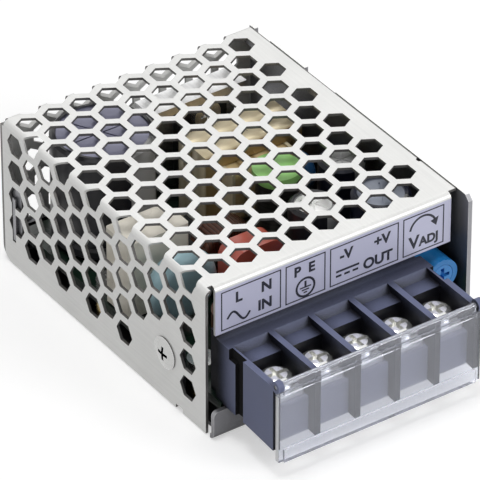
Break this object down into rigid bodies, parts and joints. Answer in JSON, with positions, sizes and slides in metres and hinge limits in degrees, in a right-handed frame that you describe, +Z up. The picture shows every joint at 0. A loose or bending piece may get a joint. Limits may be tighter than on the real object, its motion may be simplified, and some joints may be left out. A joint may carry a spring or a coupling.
{
  "type": "mesh case switching power supply",
  "caption": "Small enclosed AC to DC supply: folded chassis under a hexagon-perforated cover, screw terminal block with hinged clear cover.",
  "frame": {"origin": "centre of the case's underside", "axes": "+X across the case towards the plain side wall, +Y from the terminals to the back, +Z up"},
  "size_m": [0.0516, 0.077, 0.028],
  "materials": {
    "chassis": "bright plated sheet",
    "mesh_cover": "bright plated perforated sheet",
    "screws": "nickel-plated steel",
    "insulator": "black sheet",
    "standoffs": "turned brass",
    "board": "green solder mask",
    "block": "moulded blue-grey",
    "plates": "tinned brass",
    "clear": "clear moulding",
    "trimmer": "blue moulding",
    "rotor": "light blue moulding",
    "lamp": "green tinted resin",
    "fuse": "brown moulding",
    "varistor": "blue-green dipped coat",
    "thermistor": "dark dipped coat",
    "x_capacitor": "cream box",
    "ferrite": "dark ferrite",
    "copper": "enamelled copper wire",
    "semiconductor": "black moulding",
    "bulk_sleeve": "grey-violet sleeve",
    "bobbin": "black moulding",
    "tape": "yellow tape",
    "red_dip": "red dipped coat",
    "blue_dip": "blue dipped coat",
    "heat_sink": "mill aluminium",
    "green_sleeve": "green shrink sleeve",
    "dark_sleeve": "dark sleeve",
    "silver_can": "bare can",
    "white_plastic": "white moulding",
    "resistor": "tan lacquer"
  },
  "bodies": {
    "case": {"chassis": "chassis", "mesh_cover": "mesh_cover", "cover_screw": "screws", "insulating_sheet": "insulator", "board_standoffs": "standoffs", "circuit_board": "board", "board_screws": "screws", "terminal_block": "block", "terminal_plates": "plates", "trimmer_body": "trimmer", "pilot_lamp": "lamp", "fuse": "fuse", "varistor": "varistor", "thermistor": "thermistor", "x_capacitor": "x_capacitor", "choke_core": "ferrite", "choke_windings": "copper", "bridge_rectifier": "semiconductor", "bulk_capacitor": "bulk_sleeve", "switcher_ic": "semiconductor", "transformer_core": "ferrite", "transformer_bobbin": "bobbin", "transformer_winding": "tape", "snubber_capacitor": "red_dip", "y_capacitors": "blue_dip", "output_rectifier": "semiconductor", "heat_sink": "heat_sink", "heat_sink_screw": "screws", "output_choke": "green_sleeve", "output_capacitor": "dark_sleeve", "filter_capacitor": "dark_sleeve", "auxiliary_capacitor": "silver_can", "optocoupler": "white_plastic", "shunt_regulator": "semiconductor", "resistors": "resistor"},
    "clear_cover": {"terminal_cover": "clear"},
    "clamp_1": {"clamp_washer_1": "screws"},
    "screw_1": {"terminal_screw_1": "screws"},
    "clamp_2": {"clamp_washer_2": "screws"},
    "screw_2": {"terminal_screw_2": "screws"},
    "clamp_3": {"clamp_washer_3": "screws"},
    "screw_3": {"terminal_screw_3": "screws"},
    "clamp_4": {"clamp_washer_4": "screws"},
    "screw_4": {"terminal_screw_4": "screws"},
    "clamp_5": {"clamp_washer_5": "screws"},
    "screw_5": {"terminal_screw_5": "screws"},
    "rotor": {"trimmer_rotor": "rotor"}
  },
  "joints": [
    {"name": "cover_hinge", "type": "hinge", "parent": "case", "child": "clear_cover", "pos_m": [0, -0.04475, 0.0178], "axis": [-1, 0, 0], "range_deg": [0, 240]},
    {"name": "clamp_lift_1", "type": "slide", "parent": "case", "child": "clamp_1", "axis": [0, 0, 1], "range_m": [0, 0.0024]},
    {"name": "screw_turn_1", "type": "hinge", "parent": "clamp_1", "child": "screw_1", "pos_m": [-0.01843, -0.03855, 0.0127], "axis": [0, 0, 1], "range_deg": [0, 1440]},
    {"name": "clamp_lift_2", "type": "slide", "parent": "case", "child": "clamp_2", "axis": [0, 0, 1], "range_m": [0, 0.0024]},
    {"name": "screw_turn_2", "type": "hinge", "parent": "clamp_2", "child": "screw_2", "pos_m": [-0.01059, -0.03855, 0.0127], "axis": [0, 0, 1], "range_deg": [0, 1440]},
    {"name": "clamp_lift_3", "type": "slide", "parent": "case", "child": "clamp_3", "axis": [0, 0, 1], "range_m": [0, 0.0024]},
    {"name": "screw_turn_3", "type": "hinge", "parent": "clamp_3", "child": "screw_3", "pos_m": [-0.00275, -0.03855, 0.0127], "axis": [0, 0, 1], "range_deg": [0, 1440]},
    {"name": "clamp_lift_4", "type": "slide", "parent": "case", "child": "clamp_4", "axis": [0, 0, 1], "range_m": [0, 0.0024]},
    {"name": "screw_turn_4", "type": "hinge", "parent": "clamp_4", "child": "screw_4", "pos_m": [0.00509, -0.03855, 0.0127], "axis": [0, 0, 1], "range_deg": [0, 1440]},
    {"name": "clamp_lift_5", "type": "slide", "parent": "case", "child": "clamp_5", "axis": [0, 0, 1], "range_m": [0, 0.0024]},
    {"name": "screw_turn_5", "type": "hinge", "parent": "clamp_5", "child": "screw_5", "pos_m": [0.01293, -0.03855, 0.0127], "axis": [0, 0, 1], "range_deg": [0, 1440]},
    {"name": "trimmer_turn", "type": "hinge", "parent": "case", "child": "rotor", "pos_m": [0.0207, -0.03, 0.0132], "axis": [0, -1, 0], "range_deg": [-135, 135]}
  ],
  "couplings": [
    {"joint": "screw_turn_1", "follows": "clamp_lift_1", "rad_per_m": 10472},
    {"joint": "screw_turn_2", "follows": "clamp_lift_2", "rad_per_m": 10472},
    {"joint": "screw_turn_3", "follows": "clamp_lift_3", "rad_per_m": 10472},
    {"joint": "screw_turn_4", "follows": "clamp_lift_4", "rad_per_m": 10472},
    {"joint": "screw_turn_5", "follows": "clamp_lift_5", "rad_per_m": 10472}
  ]
}
